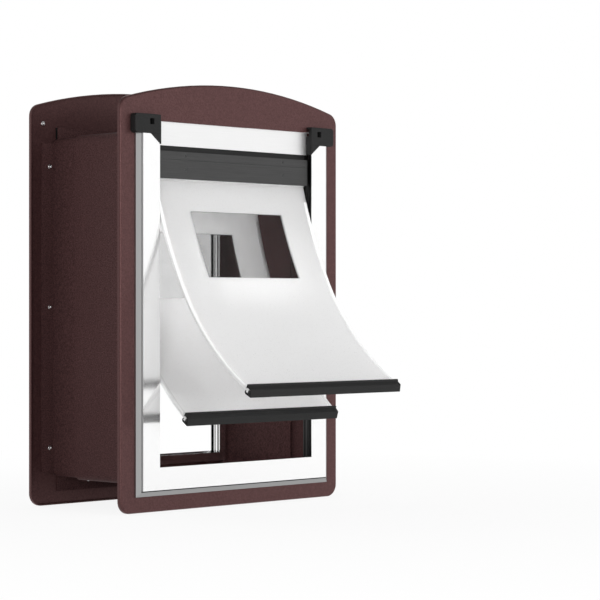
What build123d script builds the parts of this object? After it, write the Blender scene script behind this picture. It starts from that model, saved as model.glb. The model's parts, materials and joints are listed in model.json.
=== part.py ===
"""Wall-mounted dog door: two arched steel plates joined by a telescoping tunnel, aluminium tracks
for a slide-in lock panel, and two soft flaps with clear windows and magnet bars.

Millimetres. X runs across the door, Y goes into the wall, Z is up. The origin is the middle of the
front plate's bottom edge, on the wall's surface, and the front of the door looks along -Y.
"""
import os
from math import cos, degrees, radians, sin

from build123d import *

# Plates: arched pressings with a rim that turns back to the wall
plate_width = 360.0
plate_side_height = 471.6
plate_arch_rise = 25.3
plate_depth = 5.6
plate_sheet = 1.5
plate_edge_radius = 2.5
plate_top_corner = 15.0
plate_bottom_corner = 14.0
wall_depth = 152.0

# What shows of the plate round the tracks, and of the header below the plate
side_border = 21.0
bottom_border = 18.6
top_border = 22.6
header_height = 27.6

# Track extrusion, sized outward from the lip's inner edge and back from the plate's face
lip_width = 25.9
lip_thickness = 1.6
lip_proud = 7.5
groove_width = 1.3
groove_depth = 1.4
flank_width = 5.4
flank_edge = 2.4
panel_slot = 3.4
panel_slot_depth = 20.6
fin_setback = 1.4
fin_depth = 8.0
web_thickness = 1.5
web_inset = 10.9
gap_slot_start = -1.0
gap_slot_end = 0.6
seal_slot_start = 4.0
seal_slot_end = 6.4
seal_clearance = 0.1
plate_fit = 0.2

# Corner blocks over the top ends of the tracks
block_width = 39.6
block_lap_below = 15.8
block_lap_above = 6.4
block_lid = 1.0
block_cheek = 1.0
block_cheek_back = 1.0
block_tail_width = 14.6
block_tail_clearance = 0.4
block_corner = 4.0
block_edge = 0.6
latch_window_width = 6.5
latch_window_height = 6.8
latch_window_inset = 10.6
latch_window_top_margin = 5.0
latch_window_depth = 6.5
socket_width = 5.0
socket_height = 9.0
socket_depth = 6.0
socket_front = 4.6
socket_top_margin = 2.0

# Header strip across the top of each opening
header_sheet = 1.6
header_end_clearance = 0.8

# Telescoping tunnel of folded sheet
tunnel_sheet = 1.5
tunnel_gap = 0.8
collar_side_margin = 17.2
collar_sill_margin = 18.0
collar_top_margin = 13.4
collar_corner = 8.0
tunnel_setback = 35.5
tab_notch = 6.0
bottom_tab = 19.0
side_tab_margin = 2.0

# Hinge bars that hold the flaps
bar_end_clearance = 1.8
bar_proud = 2.0
bar_height = 37.8
bar_front = 9.3
bar_back = 5.7
strip_height = 21.8
strip_joint = 0.2
cover_height = 9.4
nose_reach = 4.1
axis_height = 1.6
bead_radius = 4.0
bead_clearance = 0.2
rear_axis_setback = 70.0
rear_axis_drop = 21.2
bracket_sheet = 1.5
bracket_lap = 16.0
bracket_width = 9.0
bracket_foot = 26.0

# Flaps, drawn along their bent centre line from the hinge bead to the magnet bar
flap_side_clearance = 1.2
flap_thickness = 2.2
flap_top_length = 40.7
window_length = 83.3
window_margin = 49.2
window_thickness = 1.2
window_cut_depth = 8.8
flap_sill_clearance = 42.0
rib_start = 23.0
rib_width = 5.0
rib_thickness = 4.2
rib_stop = 3.0

# Magnet bar on the flap's lower edge: a C-shaped channel round the flap's moulded anchor
channel_outline = (
    (-0.8, 5.6), (0.9, 5.9), (1.9, 4.0), (7.4, 3.2), (11.0, -4.6), (2.0, -5.4), (0.2, -4.2)
)
channel_wall = 1.3
channel_slot = 3.2
anchor_start = 1.7
anchor_depth = 2.5
anchor_low = -2.9
anchor_high = 1.9
magnet_start = 4.5
magnet_depth = 2.2
magnet_low = -3.2
magnet_high = 0.9

# Screws
screw_radius = 1.75
screw_head_radius = 2.8
screw_head_height = 2.0
screw_length = 8.0
screw_clearance = 0.1
track_screw_inset = 23.6
track_screw_rise = 16.8
track_screw_drop = 19.4
sill_screw_margin = 36.4
screw_skin = 1.0
cross_share = 0.4
head_round_share = 0.4
block_screw_drop = 2.8
block_screw_inset = 5.5
bar_screw_radius = 1.5
bar_screw_head_radius = 2.6
bar_screw_head_height = 1.2
bar_screw_length = 12.0
bar_screw_sink = 1.3
bar_screw_margin = 44.1

# Places worked out from the sizes above
face_y = -plate_depth
sheet_back_y = face_y + plate_sheet
plate_peak_height = plate_side_height + plate_arch_rise
plate_opening_top = plate_side_height - top_border
header_bottom = plate_opening_top - header_height
track_outer = lip_width + groove_width + flank_width
clear_half = plate_width / 2 - side_border - track_outer
sill_top = bottom_border + track_outer
plate_opening_half = clear_half + web_inset + web_thickness + plate_fit
plate_opening_bottom = sill_top - web_inset - web_thickness - plate_fit
tab_back_y = sheet_back_y + header_sheet
header_half = clear_half + fin_setback - header_end_clearance
block_proud = lip_proud + block_lid
block_inner_half = clear_half - block_cheek
block_outer_half = block_inner_half + block_width
block_bottom = plate_opening_top - block_lap_below
block_top = plate_opening_top + block_lap_above
block_tail_tip = header_bottom + block_tail_clearance
tunnel_length = wall_depth - tunnel_setback
collar_half = clear_half + collar_side_margin
collar_bottom = sill_top - collar_sill_margin
collar_top = plate_opening_top - collar_top_margin
sleeve_half = collar_half + tunnel_gap + tunnel_sheet
sleeve_bottom = collar_bottom - tunnel_gap - tunnel_sheet
sleeve_top = collar_top + tunnel_gap + tunnel_sheet
sleeve_corner = collar_corner + tunnel_gap + tunnel_sheet
bar_half = clear_half - bar_end_clearance
flap_half = clear_half - flap_side_clearance
window_half = flap_half - window_margin
front_axis_y = face_y - bar_proud + bar_front
front_axis_z = header_bottom - bar_height + axis_height
rear_axis_y = wall_depth - rear_axis_setback
rear_axis_z = front_axis_z - rear_axis_drop
shelf_depth = front_axis_y + bar_back - sheet_back_y
flap_bottom_length = front_axis_z - sill_top - flap_top_length - window_length - flap_sill_clearance
track_screw_half = clear_half + track_screw_inset
track_screw_low = sill_top + track_screw_rise
track_screw_high = header_bottom - track_screw_drop
track_screw_heights = (track_screw_low, (track_screw_low + track_screw_high) / 2, track_screw_high)
sill_screw_half = clear_half - sill_screw_margin
bar_screw_half = bar_half - bar_screw_margin
sill_screw_z = sill_top - track_screw_inset
block_screw_height = block_top - block_screw_drop
block_screw_half = block_outer_half - block_screw_inset
mid_wall = Plane.XZ.offset(-wall_depth / 2)
outward = (Align.CENTER, Align.CENTER, Align.MIN)
inward = (Align.CENTER, Align.CENTER, Align.MAX)

os.makedirs("parts", exist_ok=True)
front_pieces = {}


def keep(piece, name):
    """Label a finished piece and write its file."""
    piece.part.label = name
    export_step(piece.part, f"parts/{name}.step")


def wall_side(x, y, z):
    """A place on the wall side of a sheet, looking back into the wall."""
    return Plane(origin=(x, y, z), x_dir=(1, 0, 0), z_dir=(0, 1, 0))


track_screw_places = [
    (side * track_screw_half, height) for side in (-1, 1) for height in track_screw_heights
] + [(side * sill_screw_half, sill_screw_z) for side in (-1, 1)]
block_screw_places = [(side * block_screw_half, block_screw_height) for side in (-1, 1)]

# Plate: arched pan with a rolled front edge and a cut-out for the frame
with BuildPart() as plate:
    with BuildSketch(Plane.XZ) as plate_outline:
        with BuildLine():
            lower = Polyline(
                (-plate_width / 2, plate_side_height),
                (-plate_width / 2, 0),
                (plate_width / 2, 0),
                (plate_width / 2, plate_side_height),
            )
            ThreePointArc(lower @ 0, (0, plate_peak_height), lower @ 1)
        make_face()
        corners = plate_outline.vertices().group_by(Axis.Z)
        fillet(corners[-1], plate_top_corner)
        fillet(corners[0], plate_bottom_corner)
    extrude(amount=plate_depth)
    fillet(plate.faces().sort_by(Axis.Y)[0].outer_wire().edges(), plate_edge_radius)
    with BuildSketch(Plane.XZ):
        add(plate_outline.sketch)
        offset(amount=-plate_sheet, mode=Mode.REPLACE)
    extrude(amount=plate_depth - plate_sheet, mode=Mode.SUBTRACT)
    with BuildSketch(Plane.XZ):
        with Locations((0, (plate_opening_bottom + plate_opening_top) / 2)):
            Rectangle(2 * plate_opening_half, plate_opening_top - plate_opening_bottom)
    extrude(amount=plate_depth, mode=Mode.SUBTRACT)
    with Locations([wall_side(x, sheet_back_y, z) for x, z in track_screw_places + block_screw_places]):
        Hole(screw_radius + screw_clearance, plate_sheet)
front_pieces["plate"] = plate

# Tracks: one extrusion cut to three lengths and mitred at the lower corners
track_planes = {
    "left": Plane((-clear_half, face_y, 0), x_dir=(-1, 0, 0), z_dir=(0, 0, -1)),
    "right": Plane((clear_half, face_y, 0), x_dir=(1, 0, 0), z_dir=(0, 0, 1)),
    "bottom": Plane((-clear_half - track_outer, face_y, sill_top), x_dir=(0, 0, -1), z_dir=(1, 0, 0)),
}
mitres = {
    side: Plane((sign * clear_half, face_y, sill_top), x_dir=(0, 1, 0), z_dir=(sign, 0, 1))
    for side, sign in (("left", -1), ("right", 1))
}


def track_section(plane):
    """Lip, panel slot, groove, bevelled flank, and the finned web that passes through the plate."""
    lip_back = lip_thickness - lip_proud
    web_outer = web_inset + web_thickness
    with BuildSketch(plane) as section:
        Polygon(
            (0, -lip_proud),
            (lip_width, -lip_proud),
            (lip_width, lip_back + groove_depth),
            (lip_width + groove_width, lip_back + groove_depth),
            (lip_width + groove_width, lip_back),
            (track_outer, -flank_edge),
            (track_outer, 0),
            (web_outer, 0),
            (web_outer, fin_depth),
            (fin_setback, fin_depth),
            (fin_setback, lip_back),
            (0, lip_back),
            align=None,
        )
        for depth, start, end in (
            (panel_slot_depth, lip_back, lip_back + panel_slot),
            (web_inset, gap_slot_start, gap_slot_end),
            (web_inset, seal_slot_start, seal_slot_end),
        ):
            with Locations((depth / 2, (start + end) / 2)):
                Rectangle(depth, end - start, mode=Mode.SUBTRACT)
    return section


tap_depth = lip_proud - lip_thickness - screw_skin
for side, sign in (("left", -1), ("right", 1)):
    with BuildPart() as track:
        extrude(track_section(track_planes[side]).sketch, amount=block_bottom, dir=(0, 0, 1))
        split(bisect_by=mitres[side], keep=Keep.TOP)
        with Locations([wall_side(sign * track_screw_half, face_y, z) for z in track_screw_heights]):
            Hole(screw_radius + screw_clearance, tap_depth)
    front_pieces[f"track_{side}"] = track
with BuildPart() as track:
    sill_length = 2 * (clear_half + track_outer)
    extrude(track_section(track_planes["bottom"]).sketch, amount=sill_length, dir=(1, 0, 0))
    split(bisect_by=mitres["left"], keep=Keep.BOTTOM)
    split(bisect_by=mitres["right"], keep=Keep.BOTTOM)
    with Locations([wall_side(s * sill_screw_half, face_y, sill_screw_z) for s in (-1, 1)]):
        Hole(screw_radius + screw_clearance, tap_depth)
front_pieces["track_bottom"] = track

# Weather seals: soft strips in the tracks' rear slot, facing the flap's side edges
for side, sign in (("left", -1), ("right", 1)):
    with BuildPart() as seal:
        with BuildSketch(track_planes[side]):
            with Locations((
                (fin_setback + web_inset) / 2,
                (seal_slot_start + seal_slot_end) / 2,
            )):
                Rectangle(
                    web_inset - fin_setback - 2 * seal_clearance,
                    seal_slot_end - seal_slot_start - 2 * seal_clearance,
                )
        extrude(amount=sign * block_bottom)
        split(bisect_by=Plane.XY.offset(sill_top), keep=Keep.TOP)
    front_pieces[f"seal_{side}"] = seal

# Corner blocks: moulded caps with a tail along the lip and a cheek round its inner edge
for side, sign in (("left", -1), ("right", 1)):
    with BuildPart() as block:
        with BuildSketch(Plane.XZ.offset(-face_y)) as cap_outline:
            block_middle = sign * (block_inner_half + block_outer_half) / 2
            with Locations((block_middle, (block_bottom + block_top) / 2)):
                Rectangle(block_width, block_top - block_bottom)
            fillet(
                cap_outline.vertices().sort_by(Axis.X)[slice(-2, None) if sign > 0 else slice(2)],
                block_corner,
            )
        extrude(amount=block_proud)
        fillet(block.faces().sort_by(Axis.Y)[0].outer_wire().edges(), block_edge)
        tail_inner = sign * block_inner_half
        with BuildSketch(Plane.XZ.offset(lip_proud - face_y)):
            Polygon(
                (tail_inner, block_bottom),
                (tail_inner, block_tail_tip),
                (tail_inner + sign * block_tail_width, block_bottom),
                align=None,
            )
        extrude(amount=block_proud - lip_proud)
        cheek_depth = block_proud + block_cheek_back
        cheek_top = plate_opening_top - plate_fit
        with BuildSketch(Plane.XZ.offset(-face_y - block_cheek_back)):
            with Locations((sign * (block_inner_half + block_cheek / 2), (block_tail_tip + cheek_top) / 2)):
                Rectangle(block_cheek, cheek_top - block_tail_tip)
        extrude(amount=cheek_depth)
        latch_x = sign * (block_inner_half + latch_window_inset + latch_window_width / 2)
        latch_z = block_top - latch_window_top_margin - latch_window_height / 2
        with BuildSketch(Plane.XZ.offset(block_proud - face_y)):
            with Locations((latch_x, latch_z)):
                Rectangle(latch_window_width, latch_window_height)
        extrude(amount=-latch_window_depth, mode=Mode.SUBTRACT)
        socket_y = face_y - block_proud + socket_front + socket_width / 2
        socket_z = block_top - socket_top_margin - socket_height / 2
        with Locations((sign * (block_inner_half + socket_depth / 2), socket_y, socket_z)):
            Box(socket_depth, socket_width, socket_height, mode=Mode.SUBTRACT)
        with Locations(wall_side(sign * block_screw_half, face_y, block_screw_height)):
            Hole(screw_radius + screw_clearance, tap_depth)
    front_pieces[f"corner_block_{side}"] = block

# Header: strip below the plate's top edge, backed by the tunnel's tab, with a shelf for the hinge bar
with BuildPart() as header:
    with BuildSketch(Plane.YZ):
        with Locations((sheet_back_y, header_bottom)):
            Rectangle(header_sheet, header_height - plate_fit, align=(Align.MIN, Align.MIN))
            Rectangle(shelf_depth, header_sheet, align=(Align.MIN, Align.MIN))
    extrude(amount=header_half, both=True)
front_pieces["header"] = header


def screw_group(places, seat_y, radius, head_radius, head_height, length):
    """Pan-head screws driven along -Y, with a cross recess in each head."""
    with BuildPart() as screws:
        with Locations([wall_side(x, seat_y, z) for x, z in places]):
            Cylinder(head_radius, head_height, align=outward)
            Cylinder(radius, length, align=inward)
        fillet(screws.faces().group_by(Axis.Y)[-1].edges(), head_height * head_round_share)
        with Locations([wall_side(x, seat_y + head_height, z) for x, z in places]):
            Box(head_radius, radius * cross_share, head_height, mode=Mode.SUBTRACT)
            Box(radius * cross_share, head_radius, head_height, mode=Mode.SUBTRACT)
    return screws


# Screws from the wall side: through the tunnel's tabs into the tracks, and into the corner blocks
front_pieces["track_screws"] = screw_group(
    track_screw_places, tab_back_y, screw_radius, screw_head_radius, screw_head_height, screw_length
)
front_pieces["block_screws"] = screw_group(
    block_screw_places, sheet_back_y, screw_radius, screw_head_radius, screw_head_height,
    screw_length - header_sheet,
)


def tunnel(half, low, high, corner):
    """Folded tube with screw tabs turned outward where it meets its plate."""
    tube_centre = (0, (low + high) / 2)
    with BuildPart() as tube:
        with BuildSketch(Plane.XZ.offset(-tab_back_y)):
            with Locations(tube_centre):
                RectangleRounded(2 * half, high - low, corner)
        extrude(amount=-tunnel_length)
        side_tab = clear_half + track_outer + side_tab_margin - half + tunnel_sheet
        with BuildSketch(Plane.XZ.offset(-sheet_back_y)):
            for sign in (-1, 1):
                with Locations((sign * (half - tunnel_sheet + side_tab / 2), tube_centre[1])):
                    Rectangle(side_tab, high - low - 2 * tab_notch)
            with Locations((0, low + tunnel_sheet - bottom_tab / 2)):
                Rectangle(2 * half - 2 * tab_notch, bottom_tab)
        extrude(amount=-header_sheet)
        top_tab = plate_opening_top - high + tunnel_sheet
        with BuildSketch(Plane.XZ.offset(-tab_back_y)):
            with Locations((0, plate_opening_top - top_tab / 2)):
                Rectangle(2 * half - 2 * tab_notch, top_tab)
        extrude(amount=-tunnel_sheet)
        with BuildSketch(Plane.XZ.offset(-sheet_back_y)):
            with Locations(tube_centre):
                RectangleRounded(
                    2 * (half - tunnel_sheet), high - low - 2 * tunnel_sheet, corner - tunnel_sheet
                )
        extrude(amount=-(tunnel_length + header_sheet), mode=Mode.SUBTRACT)
        with Locations([wall_side(x, tab_back_y, z) for x, z in track_screw_places]):
            Hole(screw_radius + screw_clearance, header_sheet)
    return tube


# Tunnel halves: the sleeve is fixed to the front plate, and the collar slides inside it
tunnel_sleeve = tunnel(sleeve_half, sleeve_bottom, sleeve_top, sleeve_corner)
keep(tunnel_sleeve, "tunnel_sleeve")
collar = tunnel(collar_half, collar_bottom, collar_top, collar_corner)
with BuildPart() as tunnel_collar:
    mirror(collar.part, about=mid_wall)
keep(tunnel_collar, "tunnel_collar")

# The rear frame has the same pieces, facing the other way
for name, piece in front_pieces.items():
    keep(piece, f"front_{name}")
    with BuildPart() as turned:
        mirror(piece.part, about=mid_wall)
    keep(turned, f"rear_{name}")


def hinge_bar(name, axis_y, axis_z):
    """Back rail, clamp strip and cover strip that together hold a flap's hinge bead."""
    low = axis_z - axis_height
    face = axis_y - bar_front
    strip_top = low + strip_height
    cover_top = strip_top + strip_joint + cover_height
    screw_places = [
        (side * bar_screw_half, height)
        for side in (-1, 1)
        for height in (strip_top - strip_height / 2, cover_top - cover_height / 2)
    ]
    sinks = [Plane((x, face, z), x_dir=(-1, 0, 0), z_dir=(0, -1, 0)) for x, z in screw_places]

    with BuildPart() as rail:
        with BuildSketch(Plane.YZ):
            with Locations((axis_y, low)):
                Rectangle(bar_back, bar_height, align=(Align.MIN, Align.MIN))
            with Locations((axis_y, low + bar_height)):
                Rectangle(nose_reach, low + bar_height - cover_top - strip_joint, align=Align.MAX)
            with Locations((axis_y, axis_z)):
                Circle(bead_radius + bead_clearance, mode=Mode.SUBTRACT)
        extrude(amount=bar_half, both=True)
        with Locations(sinks):
            Hole(bar_screw_radius + screw_clearance, bar_screw_sink + bar_screw_length + screw_clearance)
    keep(rail, f"{name}_hinge_rail")

    with BuildPart() as strip:
        with BuildSketch(Plane.YZ):
            with Locations((face, low)):
                Rectangle(bar_front, strip_height, align=(Align.MIN, Align.MIN))
            with Locations((axis_y, axis_z)):
                Circle(bead_radius + bead_clearance, mode=Mode.SUBTRACT)
        extrude(amount=bar_half, both=True)
        with Locations([s for s in sinks if s.origin.Z < strip_top]):
            CounterBoreHole(
                bar_screw_radius + screw_clearance,
                bar_screw_head_radius + screw_clearance,
                bar_screw_sink,
            )
    keep(strip, f"{name}_clamp_strip")

    with BuildPart() as cover:
        with BuildSketch(Plane.YZ):
            with Locations((face, cover_top)):
                Rectangle(bar_front, cover_height, align=(Align.MIN, Align.MAX))
        extrude(amount=bar_half, both=True)
        with Locations([s for s in sinks if s.origin.Z > strip_top]):
            CounterBoreHole(
                bar_screw_radius + screw_clearance,
                bar_screw_head_radius + screw_clearance,
                bar_screw_sink,
            )
    keep(cover, f"{name}_cover_strip")

    with BuildPart() as screws:
        seats = [s.offset(-bar_screw_sink) for s in sinks]
        with Locations(seats):
            Cylinder(bar_screw_head_radius, bar_screw_head_height, align=outward)
            Cylinder(bar_screw_radius, bar_screw_length, align=inward)
        with Locations([s.offset(bar_screw_head_height) for s in seats]):
            cross_width = bar_screw_radius * cross_share
            Box(bar_screw_head_radius, cross_width, bar_screw_head_height, mode=Mode.SUBTRACT)
            Box(cross_width, bar_screw_head_radius, bar_screw_head_height, mode=Mode.SUBTRACT)
    keep(screws, f"{name}_hinge_screws")


hinge_bar("front", front_axis_y, front_axis_z)
hinge_bar("rear", rear_axis_y, rear_axis_z)

# Brackets: angles that carry the rear hinge bar between the collar's side walls
rear_bar_top = rear_axis_z - axis_height + bar_height
collar_inner = collar_half - tunnel_sheet
for side, sign in (("left", -1), ("right", 1)):
    with BuildPart() as bracket:
        with BuildSketch(Plane.XZ.offset(-rear_axis_y - bar_back + bracket_width)):
            Polygon(
                (sign * (bar_half - bracket_lap), rear_bar_top),
                (sign * collar_inner, rear_bar_top),
                (sign * collar_inner, rear_bar_top + bracket_foot),
                (sign * (collar_inner - bracket_sheet), rear_bar_top + bracket_foot),
                (sign * (collar_inner - bracket_sheet), rear_bar_top + bracket_sheet),
                (sign * (bar_half - bracket_lap), rear_bar_top + bracket_sheet),
                align=None,
            )
        extrude(amount=-bracket_width)
    keep(bracket, f"hinge_bracket_{side}")


def flap(name, axis_y, axis_z, lean, window_bend, lower_bend):
    """A soft flap as it hangs when pushed outward, with its window, magnet bar and magnet."""

    def bent(start, tangent, length, radius):
        return JernArc(start, tangent, radius, -degrees(length / radius))

    heading = (-sin(radians(lean)), -cos(radians(lean)))
    with BuildSketch(Plane.YZ) as sheet:
        with BuildLine():
            top = bent((axis_y, axis_z), heading, flap_top_length, window_bend)
            middle = bent(top @ 1, top % 1, window_length, window_bend)
            lower = bent(middle @ 1, middle % 1, flap_bottom_length, lower_bend)
        trace(line_width=flap_thickness)
        with Locations((axis_y, axis_z)):
            Circle(bead_radius)
    with BuildSketch(Plane.YZ) as rib:
        with BuildLine():
            rib_from = rib_start / flap_top_length
            start = bent(
                top @ rib_from, top % rib_from, flap_top_length - rib_start, window_bend
            )
            beside = bent(start @ 1, start % 1, window_length, window_bend)
            bent(beside @ 1, beside % 1, flap_bottom_length - rib_stop, lower_bend)
        trace(line_width=rib_thickness)
    with BuildSketch(Plane.YZ) as window_cut:
        with BuildLine():
            bent(top @ 1, top % 1, window_length, window_bend)
        trace(line_width=window_cut_depth)
    with BuildSketch(Plane.YZ) as window_section:
        with BuildLine():
            bent(top @ 1, top % 1, window_length, window_bend)
        trace(line_width=window_thickness)

    end = lower @ 1
    along = lower % 1
    edge_plane = Plane((0, end.X, end.Y), x_dir=(0, along.X, along.Y), z_dir=(-1, 0, 0))

    with BuildPart() as flap_sheet:
        extrude(sheet.sketch, amount=flap_half, dir=(1, 0, 0), both=True)
        for sign in (-1, 1):
            with BuildSketch(Plane.YZ.offset(sign * flap_half)):
                add(rib.sketch_local)
            extrude(amount=-sign * rib_width)
        extrude(window_cut.sketch, amount=window_half, dir=(1, 0, 0), both=True, mode=Mode.SUBTRACT)
        with BuildSketch(edge_plane):
            with Locations((anchor_start, 0)):
                Rectangle(2 * anchor_start, flap_thickness)
            with Locations((anchor_start, anchor_low)):
                Rectangle(anchor_depth, anchor_high - anchor_low, align=(Align.MIN, Align.MIN))
        extrude(amount=flap_half, both=True)
    keep(flap_sheet, f"{name}_flap")

    with BuildPart() as window:
        extrude(window_section.sketch, amount=window_half, dir=(1, 0, 0), both=True)
    keep(window, f"{name}_window")

    with BuildPart() as channel:
        with BuildSketch(edge_plane):
            Polygon(*channel_outline, align=None)
            offset(amount=-channel_wall, kind=Kind.INTERSECTION, mode=Mode.SUBTRACT)
            Rectangle(2 * anchor_start, channel_slot, mode=Mode.SUBTRACT)
        extrude(amount=flap_half, both=True)
    keep(channel, f"{name}_magnet_channel")

    with BuildPart() as magnet:
        with BuildSketch(edge_plane):
            with Locations((magnet_start, magnet_low)):
                Rectangle(magnet_depth, magnet_high - magnet_low, align=(Align.MIN, Align.MIN))
        extrude(amount=flap_half, both=True)
    keep(magnet, f"{name}_magnet")


flap("front", front_axis_y, front_axis_z, lean=14.1, window_bend=598.0, lower_bend=307.0)
flap("rear", rear_axis_y, rear_axis_z, lean=9.5, window_bend=520.0, lower_bend=370.0)
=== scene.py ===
"""Looks of the wall-mounted dog door: coated plates, bright tracks and soft flaps with clear windows."""
import json
from math import cos, radians, sin, sqrt

import bpy
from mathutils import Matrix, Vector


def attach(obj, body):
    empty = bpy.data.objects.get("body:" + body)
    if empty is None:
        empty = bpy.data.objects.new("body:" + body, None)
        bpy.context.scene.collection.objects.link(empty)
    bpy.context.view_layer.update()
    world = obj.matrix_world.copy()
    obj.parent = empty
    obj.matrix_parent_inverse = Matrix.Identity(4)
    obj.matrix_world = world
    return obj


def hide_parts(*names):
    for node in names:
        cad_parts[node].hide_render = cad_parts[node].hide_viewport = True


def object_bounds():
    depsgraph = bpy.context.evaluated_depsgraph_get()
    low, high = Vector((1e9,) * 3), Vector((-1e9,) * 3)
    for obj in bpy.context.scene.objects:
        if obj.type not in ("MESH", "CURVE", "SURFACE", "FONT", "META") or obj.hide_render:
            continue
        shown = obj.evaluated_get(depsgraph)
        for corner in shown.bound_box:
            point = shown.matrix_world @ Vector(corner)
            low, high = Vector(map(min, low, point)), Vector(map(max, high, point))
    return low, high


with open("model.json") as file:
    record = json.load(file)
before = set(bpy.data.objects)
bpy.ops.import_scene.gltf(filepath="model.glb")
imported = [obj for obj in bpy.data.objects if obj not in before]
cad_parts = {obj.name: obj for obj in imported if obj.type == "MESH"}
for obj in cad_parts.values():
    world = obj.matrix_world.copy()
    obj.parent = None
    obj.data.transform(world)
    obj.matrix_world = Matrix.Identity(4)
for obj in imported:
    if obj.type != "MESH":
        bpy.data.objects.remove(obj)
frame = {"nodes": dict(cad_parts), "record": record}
nodes = frame["nodes"]
cad_low, cad_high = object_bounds()
scene = bpy.context.scene
scene.view_settings.view_transform = "Standard"
MM = 0.001


# Camera, at the photograph's place
camera = bpy.data.objects.new("camera", bpy.data.cameras.new("camera"))
scene.collection.objects.link(camera)
camera.location = (-1.878887, -1.904155, 0.236271)
camera.rotation_euler = (radians(90), 0, radians(-46.385))
camera.data.lens = 134.88
camera.data.sensor_width = 36
camera.data.shift_y = 0.00998
scene.camera = camera


# Node helpers, for a material or the world
def add(owner, kind, inputs, **settings):
    """A new node with its settings made and its inputs linked or set."""
    tree = owner.node_tree
    node = tree.nodes.new("ShaderNode" + kind)
    for setting, value in settings.items():
        setattr(node, setting, value)
    for socket, value in inputs.items():
        if isinstance(value, bpy.types.NodeSocket):
            tree.links.new(value, node.inputs[socket])
        else:
            node.inputs[socket].default_value = value
    return node


def drive(owner, node, socket, output):
    owner.node_tree.links.new(output, node.inputs[socket])


def maths(owner, operation, *values):
    return add(owner, "Math", dict(enumerate(values)), operation=operation).outputs[0]


def choose(owner, factor, first, second):
    """One colour or the other, by a factor of 0 or 1."""
    return add(owner, "Mix", {0: factor, 6: first, 7: second}, data_type="RGBA").outputs[2]


def mix(owner, factor, first, second):
    """One shader or the other, by a factor from 0 to 1."""
    return add(owner, "MixShader", {0: factor, 1: first, 2: second}).outputs["Shader"]


def object_place(material, stretch=(1, 1, 1)):
    """Object coordinates, stretched for grain that runs one way."""
    place = add(material, "TexCoord", {}).outputs["Object"]
    return add(material, "Mapping", {"Vector": place, "Scale": stretch}).outputs["Vector"]


def noise(material, vector, scale, detail=2.0, roughness=0.5):
    """Fractal noise at a scale given in features per metre."""
    inputs = {"Vector": vector, "Scale": scale, "Detail": detail, "Roughness": roughness}
    return add(material, "TexNoise", inputs).outputs["Fac"]


def ramp(owner, factor, *stops, interpolation="LINEAR"):
    """Colours or grey values along a factor."""
    node = add(owner, "ValToRGB", {"Fac": factor})
    node.color_ramp.interpolation = interpolation
    elements = node.color_ramp.elements
    elements[0].position, elements[1].position = stops[0][0], stops[-1][0]
    middle_elements = [elements.new(at) for at, _ in stops[1:-1]]
    for element, (_, colour) in zip([elements[0], *middle_elements, elements[-1]], stops):
        element.color = (*colour, 1) if isinstance(colour, tuple) else (colour, colour, colour, 1)
    return node.outputs["Color"]


def spread(material, factor, low, high, margin=0.3):
    """Two colours or values, over the range that fractal noise mostly keeps to."""
    return ramp(material, factor, (margin, low), (1 - margin, high))


# Material helpers
def new_material(name, **sockets):
    """A material with one Principled shader whose uniform values are set on its own sockets."""
    material = bpy.data.materials.new(name)
    material.use_nodes = True
    shader = material.node_tree.nodes["Principled BSDF"]
    for socket, value in sockets.items():
        shader.inputs[socket.replace("_", " ")].default_value = value
    return material, shader


def bump(material, shader, height, strength, distance):
    """Fine relief on the shader's normal."""
    relief = add(material, "Bump", {"Height": height, "Strength": strength, "Distance": distance})
    drive(material, shader, "Normal", relief.outputs["Normal"])


def one_noise(name, scale, tones, roughness, relief=None, detail=2, stretch=(1, 1, 1), **sockets):
    """A material whose tone, roughness and relief (strength, distance) all follow one noise."""
    material, shader = new_material(name, **sockets)
    texture = noise(material, object_place(material, stretch), scale, detail)
    drive(material, shader, "Base Color", spread(material, texture, *tones))
    drive(material, shader, "Roughness", spread(material, texture, *roughness))
    if relief:
        bump(material, shader, texture, *relief)
    return material


def powder_coat(name, grain, mottle, tones, margin, roughness, relief, **sockets):
    """A coat with a tinted gloss: tone and relief follow a fine grain, roughness a wide mottle.

    grain is a noise's scale, detail and roughness, mottle is a scale, relief is strength and distance.
    """
    material, shader = new_material(name, Specular_Tint=(1.0, 0.6, 0.58, 1), **sockets)
    place = object_place(material)
    texture = noise(material, place, *grain)
    drive(material, shader, "Base Color", spread(material, texture, *tones, margin))
    drive(material, shader, "Roughness", spread(material, noise(material, place, mottle), *roughness))
    bump(material, shader, texture, *relief)
    return material


# Bronze coat of the plates: brown-red with a visible grain
bronze = powder_coat(
    "bronze_coat", grain=(650, 3, 0.6), mottle=14, tones=((0.056, 0.026, 0.026), (0.100, 0.048, 0.048)),
    margin=0.3, roughness=(0.28, 0.35), relief=(0.25, 0.0006), Metallic=0.3, Specular_IOR_Level=0.4,
)

# Coat of the tunnel: the same brown-red, matt and grainier
tunnel_coat = powder_coat(
    "tunnel_coat", grain=(700, 3, 0.65), mottle=12, tones=((0.042, 0.020, 0.020), (0.112, 0.055, 0.055)),
    margin=0.34, roughness=(0.55, 0.68), relief=(0.4, 0.0006), Specular_IOR_Level=0.12,
)

# Track aluminium: a polished lip, a groove beside it, a satin flank and fine lines along the extrusion. The
# sills' groove is painted shade, and the fins behind the lip carry painted shade on the front tracks and
# painted light on the rear tracks
opening_half, opening_bottom = 126.4 * MM, 51.2 * MM
lip_edge, groove_start, groove_end, flank_end = 25.75 * MM, 25.95 * MM, 27.2 * MM, 32.6 * MM
zone_starts = [edge / flank_end for edge in (0.0, lip_edge, groove_start, groove_end)]
fin_front, fin_inset = -12.9 * MM, 25.5 * MM
lip_tone, edge_tone, flank_tone = 0.96, 0.62, 0.36
lip_metal, edge_metal = 0.8, 0.15
polished, brushed = (0.08, 0.14), (0.30, 0.42)
line_scale = 1500
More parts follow.
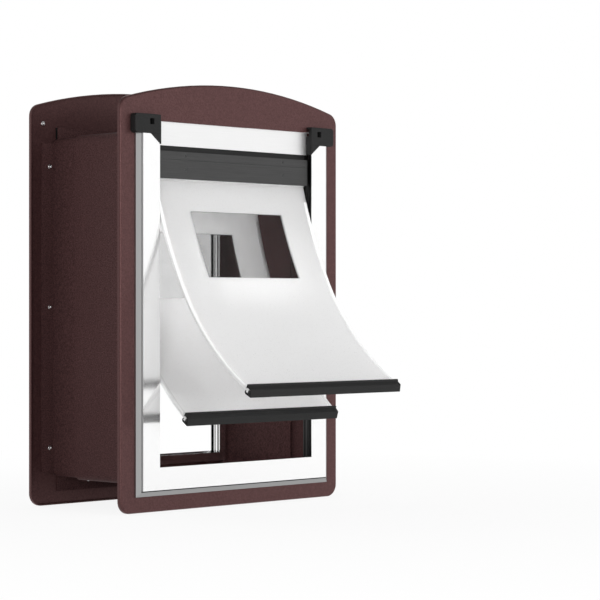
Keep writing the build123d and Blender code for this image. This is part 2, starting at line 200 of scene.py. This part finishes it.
# Fin tones: the front tracks' dark fins are painted shade, the rear tracks' bright polished fins are painted
# light
fins_in_painted_shade = {"fin_tone": 0.08, "fin_roughness": 0.45}
fins_in_painted_light = {"fin_tone": 0.95, "fin_roughness": 0.14}
# The sills' dark groove is painted shade; the side tracks' groove keeps the flank's tone
pale_groove, groove_in_painted_shade = 0.36, 0.03


def track_aluminium(name, groove_tone, fin_tone, fin_roughness):
    """The tracks' metal, with its own tone in the groove (painted shade on the sills) and its own tone and
    finish on the fins behind the lip (painted shade at the front, painted light at the rear).
    """
    material, shader = new_material(name, Specular_IOR_Level=0.3)
    where = add(material, "SeparateXYZ", {"Vector": object_place(material)}).outputs
    beside = maths(material, "SUBTRACT", maths(material, "ABSOLUTE", where["X"]), opening_half)
    below = maths(material, "SUBTRACT", opening_bottom, where["Z"])
    outward = maths(material, "MAXIMUM", beside, below)
    share = maths(material, "DIVIDE", outward, flank_end)

    def zoned(*values):
        """One value each for the lip, its edge, the groove and the flank."""
        return ramp(material, share, *zip(zone_starts, values), interpolation="CONSTANT")

    # on_fins masks the fins behind the lip, which carry painted shade on the front tracks and painted light
    # on the rear tracks
    inset = maths(material, "LESS_THAN", outward, fin_inset)
    behind_lip = maths(material, "GREATER_THAN", where["Y"], fin_front)
    on_fins = maths(material, "MULTIPLY", inset, behind_lip)
    section = add(material, "CombineXYZ", {"X": outward, "Y": where["Y"]}).outputs["Vector"]
    lines = noise(material, section, line_scale)
    metal = maths(material, "MAXIMUM", on_fins, zoned(lip_metal, edge_metal, 1.0, 1.0))
    drive(material, shader, "Metallic", metal)
    tone = zoned(lip_tone, edge_tone, groove_tone, flank_tone)
    fins = spread(material, lines, 0.9 * fin_tone, fin_tone)
    drive(material, shader, "Base Color", choose(material, on_fins, tone, fins))
    satin = zoned(0.0, 1.0, 1.0, 1.0)
    gloss = choose(material, satin, spread(material, lines, *polished), spread(material, lines, *brushed))
    fin_gloss = spread(material, lines, 0.8 * fin_roughness, fin_roughness)
    drive(material, shader, "Roughness", choose(material, on_fins, gloss, fin_gloss))
    return material


# Front tracks: painted shade on the fins; rear tracks: painted light on the fins; both sills: painted shade
# in the groove
front_side = track_aluminium("front_side_aluminium", pale_groove, **fins_in_painted_shade)
front_sill = track_aluminium("front_sill_aluminium", groove_in_painted_shade, **fins_in_painted_shade)
rear_side = track_aluminium("rear_side_aluminium", pale_groove, **fins_in_painted_light)
rear_sill = track_aluminium("rear_sill_aluminium", groove_in_painted_shade, **fins_in_painted_light)

# Header aluminium: pale satin with faint lines along the strip
along_bar = (0.02, 1, 1)
aluminium = one_noise(
    "bright_aluminium", scale=1200, tones=(0.95, 0.98), roughness=(0.42, 0.52), stretch=along_bar,
    Metallic=0.9, Specular_IOR_Level=0.2,
)

# Black moulded plastic: fine spark texture
black = one_noise(
    "black_plastic", scale=1600, detail=3, tones=(0.014, 0.025), roughness=(0.42, 0.58),
    relief=(0.2, 0.0002), Specular_IOR_Level=0.12,
)

# Grey extruded plastic of the clamp bar and black of the hinge rails, darkened as painted shade of the gap
# under the header: faint lines along the bar
grey = one_noise(
    "grey_plastic", scale=line_scale, tones=(0.040, 0.054), roughness=(0.4, 0.52), relief=(0.12, 0.0002),
    stretch=along_bar, Specular_IOR_Level=0.22,
)
# The hinge rails' extra-dark black is painted shade of the gap under the header
rail_painted_shade = one_noise(
    "rail_painted_shade", scale=line_scale, tones=(0.012, 0.022), roughness=(0.4, 0.52), stretch=along_bar,
    Specular_IOR_Level=0.15,
)

# White flap sheet: soft milky vinyl with a fine pebble
flap_white, shader = new_material(
    "white_flap", Specular_IOR_Level=0.5, Subsurface_Weight=1.0, Subsurface_Scale=0.014,
    Subsurface_Radius=(1, 1, 1),
)
place = object_place(flap_white)
pebble = noise(flap_white, place, scale=700)
cloud = noise(flap_white, place, scale=9)
drive(flap_white, shader, "Base Color", spread(flap_white, cloud, (0.94, 0.94, 0.939), (0.96, 0.96, 0.96)))
drive(flap_white, shader, "Roughness", spread(flap_white, pebble, 0.26, 0.36))
bump(flap_white, shader, pebble, strength=0.015, distance=0.0002)

# White flap ribs: the same vinyl, thicker and smoother
rib_white = one_noise(
    "white_rib", scale=30, tones=(0.95, 0.97), roughness=(0.16, 0.22), Specular_IOR_Level=0.5,
)

# Clear window: thin smoky sheet with faint ripples
clear, shader = new_material("clear_window", Transmission_Weight=0.99, IOR=1.05, Roughness=0.0)
ripple = noise(clear, object_place(clear), scale=60, detail=1)
drive(clear, shader, "Base Color", spread(clear, ripple, 0.64, 0.67))
bump(clear, shader, ripple, strength=0.03, distance=0.0005)

# Zinc screws, bright with a slight cloud, and the black screws of the clamp bar
zinc = one_noise(
    "zinc_screw", scale=500, tones=((0.66, 0.66, 0.67), (0.80, 0.80, 0.80)), roughness=(0.2, 0.34),
    Metallic=1.0,
)
oxide = one_noise(
    "black_screw", scale=800, tones=(0.052, 0.080), roughness=(0.3, 0.45),
    Metallic=0.5, Specular_IOR_Level=0.25,
)

# Seal rubber and bare magnet
rubber = one_noise(
    "seal_rubber", scale=1200, detail=3, tones=(0.010, 0.018), roughness=(0.6, 0.8),
    relief=(0.2, 0.0002), Specular_IOR_Level=0.2,
)
ferrite = one_noise(
    "bar_magnet", scale=900, detail=4, tones=(0.03, 0.055), roughness=(0.5, 0.7),
    relief=(0.2, 0.0003), Specular_IOR_Level=0.3,
)

by_slot = {
    "bronze_coat": bronze, "bright_aluminium": aluminium, "black_plastic": black, "grey_plastic": grey,
    "white_flap": flap_white, "clear_window": clear, "zinc_screw": zinc, "black_screw": oxide,
    "seal_rubber": rubber, "bar_magnet": ferrite,
}
finish_of = {
    "front_track_left": front_side, "front_track_right": front_side, "front_track_bottom": front_sill,
    "rear_track_left": rear_side, "rear_track_right": rear_side, "rear_track_bottom": rear_sill,
    "tunnel_sleeve": tunnel_coat, "tunnel_collar": tunnel_coat,
    "front_hinge_rail": rail_painted_shade, "rear_hinge_rail": rail_painted_shade,
}
for row in frame["record"]["subparts"]:
    mesh = nodes[row["node"]].data
    mesh.materials.clear()
    mesh.materials.append(finish_of.get(row["node"], by_slot[row["material_slot"]]))


# Flaps: soft sheets with thick side ribs, a hinge bead and an anchor along the lower edge
flap_half = 125.2 * MM
sheet_half = 1.1 * MM
bead_radius = 4.0 * MM
top_length, window_length, bottom_length = 40.7 * MM, 83.3 * MM, 168.0 * MM
window_half = 76.0 * MM
pane_half = 0.6 * MM
rib_start, rib_stop, rib_width, rib_half = 23.0 * MM, 3.0 * MM, 5.0 * MM, 2.1 * MM
anchor_start, anchor_depth, anchor_low, anchor_high = 1.7 * MM, 2.5 * MM, -2.9 * MM, 1.9 * MM
window_end = top_length + window_length
flap_length = window_end + bottom_length
rib_end = flap_length - rib_stop
anchor_top = flap_length + anchor_start
step = 0.3 * MM
rounding = 0.001 * MM
edge_width, crease_angle = 0.4 * MM, radians(35)
bead_rows, neck_rows, top_rows, window_rows, lower_rows = 16, 6, 6, 24, 48
window_columns, rib_columns = 12, 12


def bent_line(axis_y, axis_z, lean, window_bend, lower_bend):
    """A function from the distance along a flap to its place and heading in the YZ plane."""

    def along_arc(y, z, angle, distance, radius):
        turned = angle + distance / radius
        return (
            y + radius * (cos(turned) - cos(angle)),
            z - radius * (sin(turned) - sin(angle)),
            turned,
        )

    def at(distance):
        y, z, angle = along_arc(axis_y, axis_z, lean, min(distance, window_end), window_bend)
        if distance > window_end:
            y, z, angle = along_arc(y, z, angle, distance - window_end, lower_bend)
        return y, z, angle

    return at


def sheet_mesh(name, at, stations, columns, offsets, keep):
    """A closed sheet: two skins over a grid of stations and columns, walled round its edges and holes."""
    points, faces = [], []
    for skin in (1, 0):
        for s in stations:
            y, z, angle = at(s)
            for u in columns:
                d = offsets(s, u)[skin]
                points.append((u, y - d * cos(angle), z + d * sin(angle)))
    rows, across = len(stations), len(columns)

    def point(skin, i, j):
        return (skin * rows + i) * across + j

    cells = {
        (i, j)
        for i in range(rows - 1)
        for j in range(across - 1)
        if keep((stations[i] + stations[i + 1]) / 2, (columns[j] + columns[j + 1]) / 2)
    }
    for i, j in sorted(cells):
        ring = [(i, j), (i, j + 1), (i + 1, j + 1), (i + 1, j)]
        faces.append([point(0, *c) for c in ring])
        faces.append([point(1, *c) for c in reversed(ring)])
        for k, beside in enumerate(((i - 1, j), (i, j + 1), (i + 1, j), (i, j - 1))):
            if beside not in cells:
                a, b = ring[k], ring[(k + 1) % 4]
                faces.append([point(0, *b), point(0, *a), point(1, *a), point(1, *b)])
    mesh = bpy.data.meshes.new(name)
    mesh.from_pydata(points, [], faces)
    mesh.validate()
    piece = bpy.data.objects.new(name, mesh)
    scene.collection.objects.link(piece)
    mesh.polygons.foreach_set("use_smooth", [True] * len(mesh.polygons))
    return piece


def soft_edges(piece):
    """Round the sheet's edges."""
    bevel = piece.modifiers.new("edges", "BEVEL")
    bevel.width = edge_width
    bevel.segments = 2
    bevel.limit_method = "ANGLE"
    bevel.angle_limit = crease_angle
    weighted = piece.modifiers.new("normals", "WEIGHTED_NORMAL")
    weighted.keep_sharp = True


def spaced(start, end, count):
    return [start + (end - start) * i / count for i in range(count + 1)]


flap_stations = sorted(
    [bead_radius * cos(radians(180 - 180 * i / bead_rows)) for i in range(bead_rows + 1)]
    + spaced(bead_radius + step, rib_start - step, neck_rows)
    + spaced(rib_start, top_length, top_rows)
    + spaced(top_length, window_end, window_rows)[1:]
    + spaced(window_end, rib_end, lower_rows)[1:]
    + [rib_end + step, anchor_top - step, anchor_top, anchor_top + anchor_depth]
)
rib_turns = [radians(180 * i / rib_columns) for i in range(rib_columns + 1)]
half_columns = [window_half, (window_half + flap_half) / 2]
half_columns += [flap_half - rib_width * (1 + cos(turn)) / 2 for turn in rib_turns]
pane_columns = spaced(-window_half, window_half, window_columns)
flap_columns = sorted([-u for u in half_columns] + pane_columns[1:-1] + half_columns)


def on_rib(s, u):
    return rib_start <= s <= rib_end and abs(u) > flap_half - rib_width


def flap_offsets(s, u):
    """Heights of the flap's two skins above its middle line, lower skin first."""
    if s < bead_radius:
        height = max(sqrt(max(bead_radius**2 - s**2, 0)), sheet_half if s > 0 else 0)
        return -height, height
    if s > anchor_top - rounding:
        return anchor_low, anchor_high
    if on_rib(s, u):
        across = 2 * (flap_half - abs(u)) / rib_width - 1
        height = sheet_half + (rib_half - sheet_half) * sqrt(max(1 - across**2, 0))
        return -height, height
    return -sheet_half, sheet_half


def beside_window(s, u):
    return not (top_length < s < window_end and abs(u) < window_half)


def sheet_place(face):
    """Distance along the flap and from its middle line, at a face's middle."""
    rows = [(index // len(flap_columns)) % len(flap_stations) for index in face.vertices]
    return sum(flap_stations[row] for row in rows) / len(rows), face.center.x


flap_shapes = {
    "front": {
        "axis_y": 1.7 * MM, "axis_z": 385.2 * MM, "lean": radians(14.1),
        "window_bend": 598.0 * MM, "lower_bend": 307.0 * MM,
    },
    "rear": {
        "axis_y": 82.0 * MM, "axis_z": 364.0 * MM, "lean": radians(9.5),
        "window_bend": 520.0 * MM, "lower_bend": 370.0 * MM,
    },
}
for end, shape in flap_shapes.items():
    line = bent_line(**shape)
    sheet = sheet_mesh(f"{end}_flap_sheet", line, flap_stations, flap_columns, flap_offsets, beside_window)
    soft_edges(sheet)
    sheet.data.materials.append(flap_white)
    sheet.data.materials.append(rib_white)
    for face in sheet.data.polygons:
        s, u = sheet_place(face)
        face.material_index = int(on_rib(s, u) or s > anchor_top - step)
    pane = sheet_mesh(
        f"{end}_flap_pane", line, spaced(top_length, window_end, window_rows), pane_columns,
        lambda s, u: (-pane_half, pane_half), lambda s, u: True,
    )
    pane.data.set_sharp_from_angle(angle=crease_angle)
    pane.data.materials.append(clear)
    for piece, node, slot in ((sheet, f"{end}_flap", "white_flap"), (pane, f"{end}_window", "clear_window")):
        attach(piece, f"{end}_flap")
        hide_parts(node)


# Floor, white far off and with the object's shadow near it
floor_half, floor_drop = 8.0, 0.5 * MM
floor_mesh = bpy.data.meshes.new("floor")
corners = [(x * floor_half, y * floor_half, 0) for x, y in ((-1, -1), (1, -1), (1, 1), (-1, 1))]
floor_mesh.from_pydata(corners, [], [(0, 1, 2, 3)])
floor = bpy.data.objects.new("floor", floor_mesh)
floor.location.z = -floor_drop
scene.collection.objects.link(floor)
pale, surface = new_material(
    "pale_floor", Base_Color=(0.9, 0.9, 0.9, 1), Roughness=0.9, Specular_IOR_Level=0.0
)
floor_mesh.materials.append(pale)
reach = add(pale, "VectorMath", {0: object_place(pale)}, operation="LENGTH").outputs["Value"]
near_object, far_off = (0.35, 0.89), (1.0, 1.0)
rays = add(pale, "LightPath", {}).outputs
seen = maths(pale, "MAXIMUM", rays["Is Camera Ray"], rays["Is Glossy Ray"])
seen = maths(pale, "MAXIMUM", seen, rays["Is Transmission Ray"])
glow_share = maths(pale, "MULTIPLY", seen, ramp(pale, reach, near_object, far_off))
glow = add(pale, "Emission", {}).outputs["Emission"]
floor_shader = mix(pale, glow_share, surface.outputs["BSDF"], glow)
drive(pale, pale.node_tree.nodes["Material Output"], "Surface", floor_shader)

# World: white where it is seen, darker overhead where it is mirrored, dimmer on the left where it lights
fill_strength, fill_left, fill_right = 0.75, (0.05, 0.12), (0.45, 1.0)
mirrored_low, mirrored_high = (0.3, 1.0), (0.7, 0.15)
world = bpy.data.worlds.new("studio")
scene.world = world
world.use_nodes = True
direction = add(world, "TexCoord", {}).outputs["Generated"]
toward = add(world, "SeparateXYZ", {"Vector": direction}).outputs
left_to_right = add(world, "MapRange", {"Value": toward["X"], "From Min": -1.0}).outputs["Result"]
fill = world.node_tree.nodes["Background"]
fill.inputs["Strength"].default_value = fill_strength
drive(world, fill, "Color", ramp(world, left_to_right, fill_left, fill_right))
overhead = ramp(world, toward["Z"], mirrored_low, mirrored_high)
mirrored = add(world, "Background", {"Color": overhead}).outputs["Background"]
white = add(world, "Background", {"Color": (1, 1, 1, 1)}).outputs["Background"]
rays = add(world, "LightPath", {}).outputs
seen = maths(world, "MAXIMUM", rays["Is Camera Ray"], rays["Is Transmission Ray"])
unseen = mix(world, rays["Is Glossy Ray"], fill.outputs["Background"], mirrored)
drive(world, world.node_tree.nodes["World Output"], "Surface", mix(world, seen, unseen, white))

# Soft key and back lights that stay out of reflections, and a strip on the left that shows in them
middle = (cad_low + cad_high) / 2


def area_light(name, place, width, height, power, in_mirrors):
    """A rectangular lamp turned to the object's middle."""
    light = bpy.data.objects.new(name, bpy.data.lights.new(name, "AREA"))
    scene.collection.objects.link(light)
    light.data.shape = "RECTANGLE"
    light.data.size = width
    light.data.size_y = height
    light.data.energy = power
    light.location = place
    away = light.location - middle
    light.rotation_euler = away.to_track_quat("Z", "Y").to_euler()
    light.visible_glossy = in_mirrors


area_light("key", (0.35, -2.7, 0.5), width=1.0, height=0.9, power=32, in_mirrors=False)
area_light("back", (-0.2, 2.55, 0.38), width=2.0, height=0.7, power=51, in_mirrors=False)
area_light("strip", (-2.05, -1.43, 0.42), width=0.35, height=0.8, power=12, in_mirrors=True)
